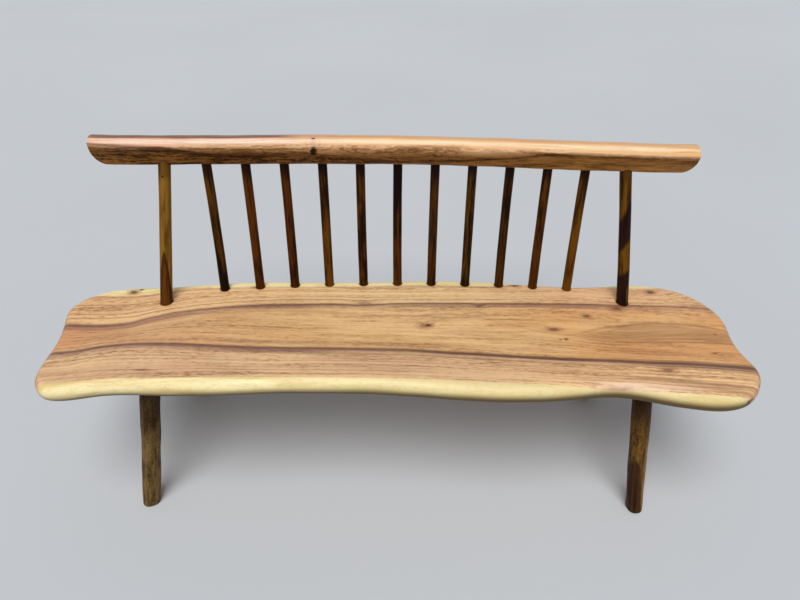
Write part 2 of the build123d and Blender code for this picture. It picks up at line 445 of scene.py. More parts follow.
# The figure: long growth lines, which swirl in the middle of the plank, the short dashes
# of the fibres, and the open pores.
middle = plank.fade(across, 0.10, 0.14) * plank.fade(across, 0.31, 0.26)
swirl = (plank.grain(plank.spot, (1.8, 7, 7), 14) - 0.5) * middle * 0.07
run = plank.place(x, across + swirl, z * 0.4)
broad = plank.grain(run, (1.2, 34, 34), 3)
streak = plank.grain(run, (2.0, 125, 125), 4, detail=3, rough=0.6)
dash = plank.grain(run, (8.5, 120, 120), 15, detail=5, rough=0.74)
speckle = plank.grain(run, (50, 290, 290), 18, detail=3, rough=0.7)
fibre = plank.grain(run, (26, 620, 620), 5)
pores = plank.fade(plank.grain(run, (60, 1500, 1500), 6, detail=1), 0.60, 0.74)
cloud = plank.grain(plank.spot, (3, 8, 8), 7)

lively = 1 - middle * 0.60
speckled = lively * 1.2 + plank.fade(x, -0.1, -0.5) * 0.7 + 0.75
tone = (broad - 0.5) * 1.10 + (streak - 0.5) * lively * 1.45 + (fibre - 0.5) * 0.40 + 0.57
tone = tone + (dash - 0.5) * 2.0 + (speckle - 0.5) * speckled
figure = plank.node("ValToRGB", {"stops": [
    (0.00, (0.42, 0.34, 0.30, 1)), (0.28, (0.70, 0.63, 0.58, 1)), (0.50, (0.87, 0.84, 0.81, 1)),
    (0.75, (0.97, 0.97, 0.97, 1)), (1.00, (1, 1, 1, 1)),
]}, {0: tone})
rosy = plank.fade(x, -0.15, -0.65)
honey = plank.fade(x, 0.10, 0.60)
front_heart = plank.mix(honey, tint(232, 190, 144), tint(254, 206, 150))
front_heart = plank.mix(rosy * 0.5, front_heart, tint(228, 182, 138))
middle_heart = plank.mix(rosy, tint(234, 187, 126), tint(224, 172, 121))
middle_heart = plank.mix(honey, middle_heart, tint(230, 170, 105))
back_heart = plank.mix(rosy, tint(244, 203, 146), tint(245, 196, 140))
back_heart = plank.mix(honey, back_heart, tint(240, 190, 140))
heart = plank.mix(plank.fade(across, 0.09, 0.115), front_heart, middle_heart)
heart = plank.mix(plank.fade(across, 0.26, 0.32), heart, back_heart)
heart = plank.mix(plank.fade(cloud, 0.40, 0.66) * 0.40, heart, tint(238, 200, 148))
heart = plank.mix(plank.fade(cloud, 0.56, 0.34) * 0.22, heart, tint(180, 134, 98))
heart = plank.mix(plank.fade(x, -0.70, -0.84) * middle * 0.50, heart, tint(226, 154, 100))
heart = plank.mix(1, heart, figure, "MULTIPLY")


# The grey-brown tongue of grain at the right, with its darker outline.
tongue_top = growth_line(
    (-0.88, -0.06), (0.38, -0.062), (0.433, -0.055), (0.517, -0.028), (0.602, -0.008),
    (0.683, 0.000), (0.784, -0.011), (0.88, -0.045),
)
tongue_low = growth_line(
    (-0.88, -0.06), (0.38, -0.064), (0.429, -0.075), (0.503, -0.081), (0.604, -0.079),
    (0.733, -0.074), (0.88, -0.085),
)
wander = (plank.grain(plank.spot, (12, 30, 30), 8, detail=3) - 0.5) * 0.016
inside = plank.fade(y - tongue_low + wander, 0, 0.014) * plank.fade(tongue_top - y + wander, 0, 0.014)
outline = plank.fade(abs(y - tongue_top + wander), 0.010, 0)
outline = outline + plank.fade(abs(y - tongue_low + wander), 0.005, 0)
shown = plank.fade(x, 0.40, 0.54) * (plank.fade(streak, 0.70, 0.35) * 0.45 + 0.55)
heart = plank.mix(inside * shown * 0.66, heart, tint(158, 114, 76))
heart = plank.mix(outline * shown * 0.52, heart, tint(112, 72, 46))

# Growth lines: place across the grain, half width, strength; mauve and soft, then dark
# and thin. The thin ones at the rear fade out towards the right end.
uneven = plank.fade(plank.grain(run, (2.4, 12, 12), 9), 0.16, 0.62)
left_half, right_end = plank.fade(x, -0.05, -0.45), plank.fade(x, 0.45, 0.70)
soft_lines = [
    (0.093, 0.017, 0.5), (0.288, 0.02, 0.62), (0.066, 0.008, 0.26), (0.033, 0.007, 0.34),
    (0.012, 0.0055, 0.26), (0.266, 0.008, 0.18), (0.124, 0.016, 0.26), (0.39, 0.009, 0.3),
    (0.18, 0.01, 0.12), (0.34, 0.006, 0.14),
]
thin_lines = [
    (0.1, 0.0072, 0.9), (0.293, 0.0056, 0.62), (0.083, 0.0028, 0.42), (0.056, 0.0024, 0.36),
    (0.044, 0.002, 0.28), (0.024, 0.0024, 0.38), (0.318, 0.0026, 0.5), (0.33, 0.0022, 0.34),
    (0.364, 0.0028, 0.36), (0.278, 0.0018, 0.24), (0.109, 0.0018, 0.3), (0.208, 0.0016, 0.12),
    (0.158, 0.0016, 0.12),
]
mauve = 0.0
for place, width, strength in soft_lines:
    mauve = plank.most(plank.fade(abs(across - place), width, 0) * strength, mauve)
dark, rear_lines = 0.0, 0.30
for place, width, strength in thin_lines:
    fine_line = plank.fade(abs(across - place), width * 1.5, width * 0.2) * strength
    if place > rear_lines:
        fine_line = fine_line * plank.fade(x, 0.55, 0.25)
    dark = plank.most(fine_line, dark)
feathers = (streak - 0.5) * -3.2 + (speckle - 0.5) * -1.2 + 0.95
back_band = plank.fade(abs(y - dark_back + 0.002), 0.021, 0.004) * plank.fade(x, -0.20, -0.42) * 0.74
front_band = plank.fade(abs(y - dark_front + 0.007), 0.018, 0.003) * plank.fade(x, 0.20, -0.30) * 0.74
mauve = mauve * (uneven * 0.55 + 0.45) * (left_half * 0.35 + 1)
mauve = plank.most(mauve, plank.most(back_band, front_band)) * feathers
heart = plank.mix(mauve, heart, tint(136, 92, 78))
main_line = plank.fade(abs(across - 0.100), 0.012, 0.008)
heart = plank.mix(dark * plank.most(uneven, main_line * 0.80), heart, tint(88, 52, 42))
double = plank.fade(abs(across - 0.0895), 0.0042, 0.0010)
double = double + plank.fade(abs(across - 0.1075), 0.0036, 0.0010) * 0.6
heart = plank.mix(double * right_end * 0.75, heart, tint(104, 62, 46))

# Two fainter lines beside the front one at the right end, and arcs in the plain middle:
# half width, strength, the x where it starts, and its spots.
arcs = [
    (0.010, 0.55, 0.48, (
        (-0.88, -0.29), (0.562, -0.2095), (0.698, -0.2228), (0.831, -0.2393), (0.88, -0.247),
    )),
    (0.012, 0.45, 0.60, ((-0.88, -0.29), (0.647, -0.234), (0.823, -0.2556), (0.88, -0.262))),
    (0.009, 0.22, -0.05, (
        (-0.88, -0.030), (-0.02, -0.020), (0.054, 0.013), (0.107, 0.023), (0.185, 0.017),
        (0.261, -0.006), (0.40, -0.05), (0.88, -0.05),
    )),
    (0.008, 0.25, -0.68, (
        (-0.88, -0.110), (-0.618, -0.086), (-0.579, -0.053), (-0.537, -0.023), (-0.442, 0.010),
        (-0.25, 0.022), (0.0, 0.012), (0.88, 0.0),
    )),
    (0.014, 0.20, 0.05, (
        (-0.88, -0.02), (0.05, -0.055), (0.22, -0.048), (0.36, -0.075), (0.52, -0.105),
        (0.70, -0.118), (0.88, -0.13),
    )),
]
for width, strength, start, spots in arcs:
    off = abs(y - growth_line(*spots) + wander * 0.5)
    arc = plank.fade(off, width, width * 0.1) * plank.fade(x, start, start + 0.12) * strength
    heart = plank.mix(arc * uneven, heart, tint(128, 84, 60))

# A painted highlight: a pale rosy glare on the heartwood beside the front sapwood, at the right.
painted_glare = plank.fade(abs(y - sap_front - 0.010), 0.020, 0.002) * plank.fade(abs(x - 0.57), 0.18, 0.04)
heart = plank.mix(painted_glare * plank.fade(streak, 0.30, 0.60) * 0.50, heart, tint(244, 216, 194))

# Cream sapwood outside the heart, ragged by a few millimetres where they meet, and darkened round the lower
# rim by painted shade.
ragged = (plank.grain(plank.spot, (34, 150, 150), 10, detail=4, rough=0.65) - 0.5) * 0.007
sap = plank.fade(sap_front - y + ragged + below * 0.30, -0.0016, 0.0018)
sap_rear = plank.fade(y - sap_back + ragged * 2 + below * 0.30, -0.009, 0.007)
sap_streak = plank.grain(run, (2.6, 90, 90), 11, detail=4, rough=0.62)
cream = plank.mix(plank.fade(sap_streak, 0.33, 0.60), tint(228, 200, 132), tint(255, 237, 181))
greenish = plank.fade(plank.grain(plank.spot, (3, 9, 30), 16), 0.50, 0.70)
cream = plank.mix(greenish * 0.45, cream, tint(212, 200, 124))
cream = plank.mix(plank.fade(dash, 0.46, 0.24) * 0.30, cream, tint(176, 146, 92))
cream = plank.mix(plank.fade(x, -0.40, 0.25) * 0.60, cream, tint(224, 200, 138))
cream = plank.mix(plank.fade(speckle, 0.52, 0.30) * 0.35, cream, tint(212, 180, 116))
# Painted shade: the rim darkens towards the underside.
cream = plank.mix(plank.fade(below + x * 0.008, 0.0128, 0.034) * 0.96, cream, tint(86, 62, 6))
colour = plank.mix(plank.most(sap, sap_rear), heart, cream)

# A shred of bark left in a hollow of the rim, then the knots, the pores and the end grain.
bark = plank.fade(plank.reach((0.8046, -0.2605, 0.4235), (0.010, 0.010, 0.0035)), 1.4, 0.7)
bark = bark + plank.fade(plank.reach((0.7965, -0.2655, 0.4165), (0.0035, 0.006, 0.009)), 1.4, 0.7)
colour = plank.mix(bark * 0.85, colour, tint(78, 48, 28))
colour = plank.mix(halo, colour, tint(150, 96, 66))
colour = plank.mix(core, colour, tint(74, 38, 28))
colour = plank.mix(pores * 0.22, colour, tint(120, 84, 58))
ends = plank.fade(abs(plank.parts(plank.node("NewGeometry", out="Normal"))[0]), 0.35, 0.90)
end_grain = plank.mix(plank.fade(tone, 0.2, 0.9), tint(104, 62, 30), tint(176, 118, 66))
colour = plank.mix(ends * 0.60, colour, end_grain)

# Painted shade: dark rings round the feet of the sticks, where they meet the seat.
ring = 0.0
for name, (foot, head, way, radius) in sticks.items():
    near = plank.reach((*mouths[name][:2], 0), (radius, radius * 1.04, 0))
    ring = plank.most(plank.fade(near, 1.30, 1.06), ring)
colour = plank.mix(ring * 0.60, colour, tint(92, 48, 28))

planing = plank.grain(plank.spot, (5, 12, 12), 13, detail=1)
plank_relief = planing * 1.2 + dash * 0.12 + fibre * 0.05 - pores * 0.06 - core * 0.25
plank_gloss = 0.42 + (dash - 0.5) * 0.16 + sap * 0.06 + pores * 0.10
plank.oil(seat_plank, colour, plank_gloss, plank_relief, {"Specular IOR Level": 0.35})
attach(seat_plank, "root")
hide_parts("seat_slab")

# ------------------------------ legs
# Four round billets of the same hardwood, shaved by hand, splayed outwards and cut level
# where they stand. Each has a tenon turned on its upper end, glued up into the seat.

# The radius at the foot and at the hip, how far the foot strays, two tones, both darkened as painted shade
# from the seat, and a seed.
leg_looks = {
    "leg_front_left": (0.0228, 0.0243, 0.0, (127, 98, 57), (55, 37, 15), 21),
    "leg_front_right": (0.0216, 0.0243, -0.0022, (124, 88, 38), (50, 28, 8), 22),
    "leg_rear_left": (0.0232, 0.0242, 0.0, (128, 98, 52), (52, 33, 12), 23),
    "leg_rear_right": (0.0230, 0.0240, 0.0, (126, 92, 46), (52, 33, 12), 24),
}


def along_member(finish, start, way):
    """The spot in a round member's own frame: square to it, and then along it."""
    side = Vector((0, 1, 0)).cross(Vector(way)).normalized()
    frame_of = Matrix((side, Vector(way).cross(side), way)).transposed()
    place = {"Vector": finish.spot, "Location": start, "Rotation": frame_of.to_euler()}
    return finish.node("Mapping", {"vector_type": "TEXTURE"}, place)


for name, (foot, hip) in legs.items():
    foot_radius, hip_radius, stray, light, dark, seed = leg_looks[name]
    foot, hip = np.array([*foot, 0]), np.array([*hip, seat_underside])
    way = (hip - foot) / np.linalg.norm(hip - foot)
    bevel, around = 0.0028, 72
    up = np.concatenate([[0, 0.0004, 0.0012, bevel], np.linspace(0.006, seat_underside, 60)])
    at = up / seat_underside
    turn = 2 * pi * np.arange(around) / around
    lumps = np.random.default_rng(seed).uniform(0, 2 * pi, 9)
    shaved = -0.0004
    for k in range(1, 6):
        drift = 3.1 * np.sin(2 * pi * at[:, None] * (0.4 + 0.23 * k) + lumps[-k])
        shaved = shaved + 0.0003 * np.sin(k * turn[None] + lumps[k] + drift)
    radii = foot_radius + (hip_radius - foot_radius) * at
    radii -= 0.0026 * np.clip(1 - up / bevel, 0, 1)
    centres = foot + at[:, None] * (hip - foot)
    rings = rings_about(centres, way, radii[:, None] + shaved, around)
    rings -= (rings[..., 2:] - up[:, None, None]) / way[2] * way
    rings[..., 0] += stray * (1 - at[:, None])
    tenon = hip + np.array([[-0.004], [tenon_length - 0.0015], [tenon_length]]) * way
    tenon_rings = rings_about(tenon, way, [tenon_radius, tenon_radius, tenon_radius - 0.0015], around)
    tenon_rings[0] -= (tenon_rings[0][:, 2:] - seat_underside) / way[2] * way
    leg = skin(name + "_billet", np.concatenate([rings, tenon_rings]))

    wood = Finish(bpy.data.materials.new("oiled_" + name))
    own = along_member(wood, foot, way)
    u, w, t = wood.parts(own)
    run = wood.place(t, u, w)
    bend = (wood.grain(run, (5, 30, 30), seed) - 0.5) * 0.010
    run = wood.place(t, u + bend, w - bend)
    mottle = wood.grain(run, (11, 62, 62), seed + 1, detail=4, rough=0.68)
    speckle = wood.grain(run, (120, 280, 280), seed + 5, detail=3, rough=0.7)
    streak = wood.grain(run, (5, 180, 180), seed + 2, detail=3)
    fibre = wood.grain(run, (30, 900, 900), seed + 3)
    flecks = wood.fade(wood.grain(run, (40, 120, 120), seed + 4, detail=3), 0.62, 0.70)
    tone = (mottle - 0.5) * 2.8 + (streak - 0.5) * 0.7 + (speckle - 0.5) * 1.3 + (fibre - 0.5) * 0.4 + 0.50
    colour = wood.mix(wood.fade(tone, 0.0, 1.0), tint(*dark), tint(*light))
    colour = wood.mix(flecks * 0.40, colour, tint(54, 30, 12))
    # Painted shade: each leg darkens towards the seat, which shades it.
    painted_hip_shade = t + (mottle - 0.5) * 0.10
    if name == "leg_front_right":
        colour = wood.mix(wood.fade(painted_hip_shade, 0.26, 0.36) * 0.78, colour, tint(38, 20, 7))
        # A dark flake near the foot, and a pale streak beside it.
        edge = (mottle - 0.5) * 0.006
        patch = wood.fade(u + t * 0.10 + edge, 0.0165, 0.0120) * wood.fade(w, 0.016, 0.004)
        patch = patch * wood.fade(t + abs(u + 0.011) * 2.0 + edge * 2, 0.196, 0.178)
        patch_wood = wood.mix(wood.fade(streak, 0.25, 0.75), tint(40, 21, 9), tint(68, 39, 20))
        colour = wood.mix(patch * 0.86, colour, patch_wood)
        pale = wood.fade(abs(u - 0.0135 + edge * 0.5), 0.008, 0.001) * wood.fade(w, 0.010, 0.0)
        pale = pale * wood.fade(abs(t - 0.13), 0.15, 0.08)
        colour = wood.mix(pale * 0.66, colour, tint(150, 108, 58))
    else:
        colour = wood.mix(wood.fade(painted_hip_shade, 0.18, 0.32) * 0.68, colour, tint(44, 28, 10))
    relief = mottle * 0.4 + streak * 0.10 + fibre * 0.04 - flecks * 0.05
    wood.oil(leg, colour, (mottle - 0.5) * 0.25 + 0.44 + flecks * 0.1, relief, {"Specular IOR Level": 0.06})
    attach(leg, "root")
    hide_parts(name)

# ------------------------------ back sticks
# Two stout posts and eleven slimmer sticks of dark heartwood, shaved round by hand and
# oiled. Each is let into a blind hole in the seat and another in the rail, and glued.

# Each post and then each stick from the left: its light and dark tone, how much of it is
# dark, and how much lighter its foot is than its head.
stick_woods = [
    ((133, 94, 32), (80, 49, 8), 0.42, 0),
    ((104, 66, 12), (44, 24, 2), 0.46, 0),
    ((84, 49, 4), (24, 9, 1), 0.52, -0.6),
    ((86, 43, 2), (38, 15, 1), 0.46, 0),
    ((82, 39, 2), (36, 14, 1), 0.48, 0),
    ((97, 57, 9), (36, 15, 1), 0.50, 0.5),
    ((86, 46, 3), (26, 9, 0), 0.53, 0),
    ((78, 40, 3), (20, 7, 1), 0.54, 1.5),
    ((76, 40, 5), (32, 13, 1), 0.50, 0.3),
    ((82, 51, 6), (27, 11, 1), 0.52, -0.7),
    ((72, 39, 3), (27, 11, 1), 0.52, 0.5),
    ((86, 46, 3), (32, 13, 1), 0.49, 0.3),
    ((103, 61, 5), (44, 23, 1), 0.46, 0.6),
]
free_run = 0.337

for number, (name, (foot, head, way, radius)) in enumerate(sticks.items()):
    length = np.linalg.norm(head - foot)
    draw = np.random.default_rng(100 + number)
    bevel, around = 0.0012, 40
    run_up = np.concatenate([
        [0, bevel], np.linspace(0.02, length - 0.02, 44), [length - bevel, length],
    ])
    at = run_up / length
    free = np.clip(np.sin(pi * at) * 1.6 - 0.3, 0, 1)[:, None]
    turn = 2 * pi * np.arange(around)[None] / around
    phase = draw.uniform(0, 2 * pi, 8)
    shaved = 0.010 * np.sin(2 * pi * 1.3 * at + phase[0])[:, None] + 0.010 * np.cos(2 * turn + phase[1])
    shaved = shaved + 0.008 * np.cos(3 * turn + 5 * at[:, None] + phase[2])
    shaved = shaved + 0.006 * np.cos(7 * turn + 4 * np.sin(5 * at[:, None] + phase[3]))
    radii = radius * (1 + free * (shaved - 0.012))
    radii[[0, -1]] -= 0.0010
    bend = draw.uniform(-0.0012, 0.0012, 2)
    centres = foot + run_up[:, None] * way + free**2 * np.array([*bend, 0])
    stick = skin(name + "_shaved", rings_about(centres, way, radii, around))

    light, dark, share_dark, foot_light = stick_woods[number]
    wood = Finish(bpy.data.materials.new("oiled_" + name))
    u, w, t = wood.parts(along_member(wood, foot, way))
    sway = (wood.grain(wood.place(t, u, w), (6, 40, 40), number) - 0.5) * 0.012
    run = wood.place(t, u + sway, w + sway)
    blotch = wood.grain(run, (9, 75, 75), number + 40, detail=4, rough=0.65)
    streak = wood.grain(run, (7, 330, 330), number + 60, detail=3)
    fibre = wood.grain(run, (40, 1400, 1400), number + 80)
    up = (t - stick_in_seat) / free_run
    tone = (blotch - share_dark) * 3.4 + (streak - 0.5) * 1.3 + (fibre - 0.5) * 0.4 + 0.5
    tone = tone + (0.5 - up) * foot_light
    colour = wood.mix(wood.fade(tone, 0.05, 0.95), tint(*dark), tint(*light))
    # Painted shade: each head darkens just under the rail.
    if "post" in name:
        colour = wood.mix(wood.fade(up + sway, 0.93, 0.99) * 0.45, colour, tint(40, 20, 6))
    else:
        colour = wood.mix(wood.fade(up + u * 1.6 + sway, 0.85, 0.95) * 0.80, colour, tint(26, 11, 4))
    if name == "back_post_left":
        # A flame of dark heartwood above the foot, and a pin knot below the head.
        front = wood.fade(w, 0.008, 0.0)
        outer = (up + (streak - 0.5) * 0.05) / 0.40 + wood.sum("POWER", (u - 0.001) / 0.0165, 2)
        inner = (up + (streak - 0.5) * 0.05) / 0.31 + wood.sum("POWER", (u - 0.002) / 0.0100, 2)
        flame = wood.fade(outer, 1.06, 0.96) * front
        colour = wood.mix(flame * 0.88, colour, tint(52, 23, 6))
        heartwood = wood.mix(wood.fade(tone, 0.1, 0.9), tint(56, 28, 6), tint(96, 54, 10))
        colour = wood.mix(wood.fade(inner, 1.08, 0.94) * front * 0.85, colour, heartwood)
        knot = wood.sum("POWER", u / 0.0026, 2) + wood.sum("POWER", (t - 0.355) / 0.0030, 2)
        colour = wood.mix(wood.fade(knot, 1.3, 0.4) * wood.fade(w, 0.0, -0.004), colour, tint(40, 22, 12))
    if name == "back_post_right":
        # Two dark bands that slant round the post, and a lighter fleck at its foot.
        edge = (streak - 0.5) * 0.05 + sway * 3
        bands = wood.fade(up - u * 6.5 + edge, 0.785, 0.72) * wood.fade(up - u * 4.1 + edge, 0.45, 0.50)
        bands = bands + wood.fade(up - u * 2.1 + edge, 0.28, 0.235)
        band_wood = wood.mix(wood.fade(blotch, 0.38, 0.68), tint(20, 7, 4), tint(46, 23, 9))
        colour = wood.mix(bands * 0.97, colour, band_wood)
        fleck = wood.sum("POWER", (u - 0.0075) / 0.0030, 2) + wood.sum("POWER", (up - 0.07) / 0.075, 2)
        colour = wood.mix(wood.fade(fleck, 1.2, 0.5) * 0.55, colour, tint(112, 76, 34))
    relief = blotch * 0.35 + streak * 0.10 + fibre * 0.03
    wood.oil(stick, colour, (streak - 0.5) * 0.2 + 0.38, relief, {"Specular IOR Level": 0.06})
    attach(stick, "root")
    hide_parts(name)

# ------------------------------ top rail
# One gently bowed log, peeled, shaped and oiled. Its lower front is planed flat towards
# both ends, where the plane meets the round top in an arris, and fades out in the middle.
# The ends are rounded underneath, and blind holes take the heads of the sticks.

rail_half, rail_middle_x = 0.7675, -0.013
rail_half_depth, rail_half_height = 0.040, 0.037
rail_centre_height = 0.801
rail_middle_y, rail_bow, rail_skew = 0.24235, 0.027, 0.030

# The left and the right end: the radius of its lower corner, and how far it slants
# inwards towards the front, as a slope.
left_shape, right_shape = (0.047, 0.14), (0.042, -0.085)
slant_reach, slant_from, upper_ease, end_arris = 0.050, 0.004, 0.005, 0.0020
end_middle, end_half_height, blend = 0.016, 0.034, 0.002
knot_x = -0.226


def rail_centre(part, cosine):
    """The y of the log's centre line at a part of its half length from the middle."""
    return rail_middle_y - rail_bow + rail_skew * 0.5 * part + (cosine + 1) * (rail_bow / 2)


def rubbed(loop, times):
    """A closed outline whose corners are rubbed down, a little each time."""
    for _ in range(times):
        loop = (np.roll(loop, 1, axis=0) + 2 * loop + np.roll(loop, -1, axis=0)) / 4
    return loop


def rail_section(part):
    """The log's outline in y and z about its centre, from the arris down the plane."""
    roundness = max(0.0, cos(pi * part))
    climb = np.interp(-part, (0.45, 0.64, 0.77, 0.86, 0.94), (0, 0.22, 0.42, 0.85, 1))
    size = np.array([rail_half_depth, rail_half_height])
    arris = np.array([-0.87 + 0.21 * climb, 0.49 + 0.23 * climb]) * size
    keel = np.array([-0.34, -0.96]) * size
    chord = keel - arris
    outward = np.array([chord[1], -chord[0]]) / np.linalg.norm(chord)
    down = np.linspace(0, 1, 30)[:, None]
    belly = (0.0008 + 0.0122 * roundness) * 4 * down * (1 - down)
    plane = arris + chord * down + outward * belly
    brow = (-0.66 + 0.22 * climb, 0.72 + 0.14 * climb)
    back = [(0.10, -1), (0.80, -0.60), (1, 0), (0.72, 0.68), (0, 1), brow]
    back = [keel, *(np.array(back) * size), arris]
    loop = np.vstack([plane[:-1], smooth_line(back, 160)])
    loop = rubbed(evenly_spaced(loop, 168, closed=True), 3)
    worn = rubbed(loop, 67)
    worn = worn * (np.ptp(loop, axis=0) / np.ptp(worn, axis=0))
    worn += loop.max(axis=0) - worn.max(axis=0)
    wear = np.interp(part, (-0.78, -0.50, 0.10, 0.46), (0, 1, 1, 0))
    wear = wear**2 * (3 - 2 * wear)
    return loop * (1 - wear) + worn * wear


ease_in = np.array([
    0, 0.0003, 0.001, 0.002, 0.0035, 0.0055, 0.008, 0.011, 0.0145, 0.0185, 0.023, 0.028, 0.033, 0.038,
])
places = rail_middle_x + np.concatenate([
    -rail_half + ease_in,
    np.arange(-rail_half + 0.044, rail_half - 0.041, 0.006),
    (rail_half - ease_in)[::-1],
])
rail_rings = []
for place in places:
    part = (place - rail_middle_x) / rail_half
    loop = rail_section(part)
    from_end = rail_half - abs(place - rail_middle_x)
    angle = np.arctan2(loop[:, 1], -loop[:, 0])
    outward = loop / np.linalg.norm(loop, axis=1)[:, None]
    lumps = 0.0004 * np.sin(9 * place + 2 * angle) + 0.0003 * np.sin(23 * place - 3 * angle + 1)
    lumps += 0.0002 * np.sin(41 * place + angle + 2) + 0.0002 * np.sin(67 * place - 2 * angle)
    from_knot = np.hypot((place - knot_x) / 0.015, (angle - 0.85) / 0.50)
    lumps += 0.0014 * np.exp(-(from_knot**2) / 2.5)
    lumps -= 0.0009 * np.exp(-(((from_knot - 1.15) / 0.16) ** 2))
    loop = loop + outward * np.minimum(lumps - 0.0009, -0.0001)[:, None]
    height = loop[:, 1]
    corner, slope = left_shape if place < rail_middle_x else right_shape
    if from_end < corner:
        lower = -rail_half_height + corner - np.sqrt(corner**2 - (corner - from_end) ** 2)
        height = (height + lower + np.sqrt((height - lower) ** 2 + blend**2)) / 2
    if from_end < upper_ease:
        upper = rail_half_height - upper_ease
        upper += np.sqrt(upper_ease**2 - (upper_ease - from_end) ** 2)
        height = (height + upper - np.sqrt((height - upper) ** 2 + blend**2)) / 2
    if from_end < end_arris:
        eased = end_arris - np.sqrt(end_arris**2 - (end_arris - from_end) ** 2)
        shrink = 1 - eased / end_half_height
        loop = loop * [shrink, 1]
        height = end_middle + (height - end_middle) * shrink
    slope *= np.clip(1 - from_end / slant_reach, 0, 1) ** 2
    end_x = place + slope * np.clip(slant_from - loop[:, 0], 0, None)
    end_y = rail_centre(part, cos(pi * part)) + loop[:, 0]
    rail_rings.append(np.column_stack([end_x, end_y, rail_centre_height + height]))
rail_log = skin("rail_log", np.array(rail_rings))

holes = []
for foot, head, way, radius in sticks.values():
    mouth = head - way * stick_in_rail
    holes.append((mouth, way, radius + glue_gap, stick_in_rail + glue_room))
bore(rail_log, holes)

log = Finish(bpy.data.materials.new("oiled_rail_log"))
x, y, z = log.parts(log.spot)
part = (x - rail_middle_x) / rail_half
forward = rail_centre(part, log.sum("COSINE", part * pi)) - y
lift = z - rail_centre_height
angle = log.sum("ARCTAN2", lift, forward)
run = log.place(x, forward, lift)
sway = (log.grain(run, (4, 14, 14), 31) - 0.5) * 0.030
run = log.place(x, forward + sway, lift - sway)
broad = log.grain(run, (2.2, 40, 40), 32)
streak = log.grain(run, (3.2, 150, 150), 33, detail=3)
fibre = log.grain(run, (18, 700, 700), 34)
pores = log.fade(log.grain(run, (55, 1300, 1300), 35, detail=1), 0.58, 0.72)
dash = log.grain(run, (15, 150, 150), 37, detail=5, rough=0.76)
speckle = log.grain(run, (60, 300, 300), 40, detail=3, rough=0.7)

# Lines along the log are drawn on a chart of 1.60 m by 200 degrees.
log_chart_end, log_chart_turn = 0.80, 100
along_log = (x + log_chart_end) / (log_chart_end * 2)


def rail_line(*spots):
    """The angle up the log's front, in radians, of a line along the log."""
    curve = [
        ((px + log_chart_end) / (log_chart_end * 2), (degrees + log_chart_turn) / (log_chart_turn * 2))
        for px, degrees in spots
    ]
    line = log.node("FloatCurve", {"curve": curve}, {"Value": along_log})
    return (line * (log_chart_turn * 2) - log_chart_turn) * radians(1)


# The light wood on top, and the edges that divide it from the front, which is painted darker: partly shade,
# partly darker wood.
tone = (broad - 0.5) * 1.2 + (streak - 0.5) * 1.3 + (dash - 0.5) * 1.2 + (fibre - 0.5) * 0.4 + 0.56
rough_tone = tone + (speckle - 0.5) * 2.4 + (dash - 0.5) * 1.4
light_edge = rail_line(
    (-0.80, 51), (-0.774, 50), (-0.735, 44), (-0.696, 40), (-0.655, 37), (-0.602, 33), (-0.576, 36),
    (-0.523, 41), (-0.455, 44), (-0.397, 44), (-0.259, 44), (-0.159, 41), (-0.023, 42), (0.068, 44),
    (0.144, 39), (0.182, 37), (0.258, 38), (0.321, 41), (0.366, 41), (0.429, 36), (0.497, 36),
    (0.547, 34), (0.648, 31), (0.744, 29), (0.80, 28),
)
dark_edge = rail_line(
    (-0.80, 35), (-0.776, 34), (-0.736, 28), (-0.699, 27), (-0.651, 25), (-0.597, 24), (-0.543, 11),
    (-0.486, -4), (-0.447, -11), (-0.401, -14), (-0.335, -8), (-0.26, -4), (-0.212, -6), (-0.16, -14),
    (-0.107, -24), (-0.058, -30), (0.0, -31), (0.07, -25), (0.134, -21), (0.184, -14), (0.26, -5),
    (0.322, 10), (0.367, 20), (0.429, 26), (0.497, 27), (0.547, 27), (0.648, 25), (0.745, 24), (0.80, 24),
)
wander = (log.grain(run, (9, 60, 60), 36, detail=4, rough=0.7) - 0.5) * 0.34
front = log.fade(angle, -2.4, -1.7)
to_right = log.fade(x, -0.40, -0.05)
upper = log.mix(to_right, tint(228, 176, 142), tint(236, 186, 132))
upper_dark = log.mix(to_right, tint(190, 126, 92), tint(204, 146, 92))
upper = log.mix(log.fade(tone, 0.50, 0.12) * 0.8, upper, upper_dark)
upper = log.mix(log.fade(angle + wander * 0.4, 1.20, 1.44) * 0.55, upper, tint(200, 142, 98))
# A painted highlight: a pale band along the upper front, where an overhead light would glint.
painted_highlight = log.fade(abs(angle - 0.99 + wander * 0.3), 0.27, 0.06)
painted_highlight = painted_highlight * (log.fade(abs(x + 0.02), 0.78, 0.62) * 0.40 + 0.50)
painted_highlight = painted_highlight * (log.fade(streak, 0.30, 0.58) * 0.55 + 0.43)
swathes = log.place(x, angle * 0.040 + x * 0.045)
swathe = log.fade(log.grain(swathes, (3.4, 95, 1), 43, detail=3), 0.52, 0.66) * to_right
upper = log.mix(painted_highlight, upper, log.mix(to_right, tint(255, 230, 206), tint(255, 230, 190)))
upper = log.mix(swathe * 0.50, upper, tint(216, 152, 96))

# Down the front the light wood turns orange, ochre and brown, partly painted shade and partly darker wood:
# how far below the light edge each starts and is full, and its dark and light tones.
drop, colour = light_edge - angle + wander, upper
for start, full, dark, light in (
    (-0.05, 0.07, (176, 126, 86), (230, 186, 142)),
    (0.12, 0.36, (118, 78, 42), (180, 134, 86)),
    (0.36, 0.74, (80, 48, 20), (138, 96, 52)),
):
    shade = log.mix(log.fade(rough_tone, 0.05, 0.95), tint(*dark), tint(*light))
    colour = log.mix(log.fade(drop, start, full) * front, colour, shade)
